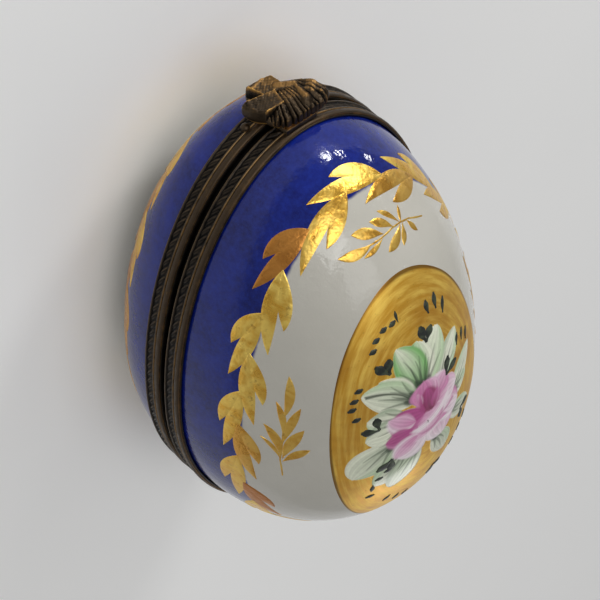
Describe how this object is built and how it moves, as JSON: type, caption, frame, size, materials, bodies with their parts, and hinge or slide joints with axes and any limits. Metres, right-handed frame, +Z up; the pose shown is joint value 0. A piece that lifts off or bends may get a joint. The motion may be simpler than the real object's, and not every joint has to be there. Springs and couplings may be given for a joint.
{
  "type": "hinged porcelain egg trinket box",
  "caption": "Egg-shaped porcelain trinket box that opens lengthwise on a brass hinge, with chased metal rims and a ribbon-bow clasp.",
  "frame": {"origin": "centre of the bounding box's lowest face, level with the ground flat under the base", "axes": "+Z up through the lid's dome, +Y along the egg towards the hinge at its broad end, -Y towards the clasp at its narrow end, X across the egg"},
  "size_m": [0.0436, 0.0734, 0.0433],
  "materials": {
    "porcelain": "cobalt blue and white glaze with gilding, glossy",
    "dark_bronze": "antiqued dark bronze, chased",
    "bead_bronze": "antiqued bronze, rubbed brighter",
    "worn_bronze": "antiqued bronze worn to gold on its high points"
  },
  "bodies": {
    "base": {"base_shell": "porcelain", "base_bezel": "dark_bronze", "base_bead": "bead_bronze", "base_rope": "dark_bronze", "base_collar": "dark_bronze", "base_hinge_leaf": "dark_bronze", "base_knuckle_left": "worn_bronze", "base_knuckle_right": "worn_bronze", "hinge_pin": "worn_bronze", "catch_nub": "worn_bronze", "stop_bead": "bead_bronze"},
    "lid": {"lid_shell": "porcelain", "lid_bezel": "dark_bronze", "lid_rope": "dark_bronze", "lid_bead": "bead_bronze", "lid_hinge_leaf": "dark_bronze", "lid_knuckle": "worn_bronze", "clasp_tongue": "dark_bronze", "clasp_bow": "worn_bronze"}
  },
  "joints": [
    {"name": "lid_hinge", "type": "hinge", "parent": "base", "child": "lid", "pos_m": [0, 0.0356, 0.0172], "axis": [-1, 0, 0], "range_deg": [0, 100]}
  ]
}
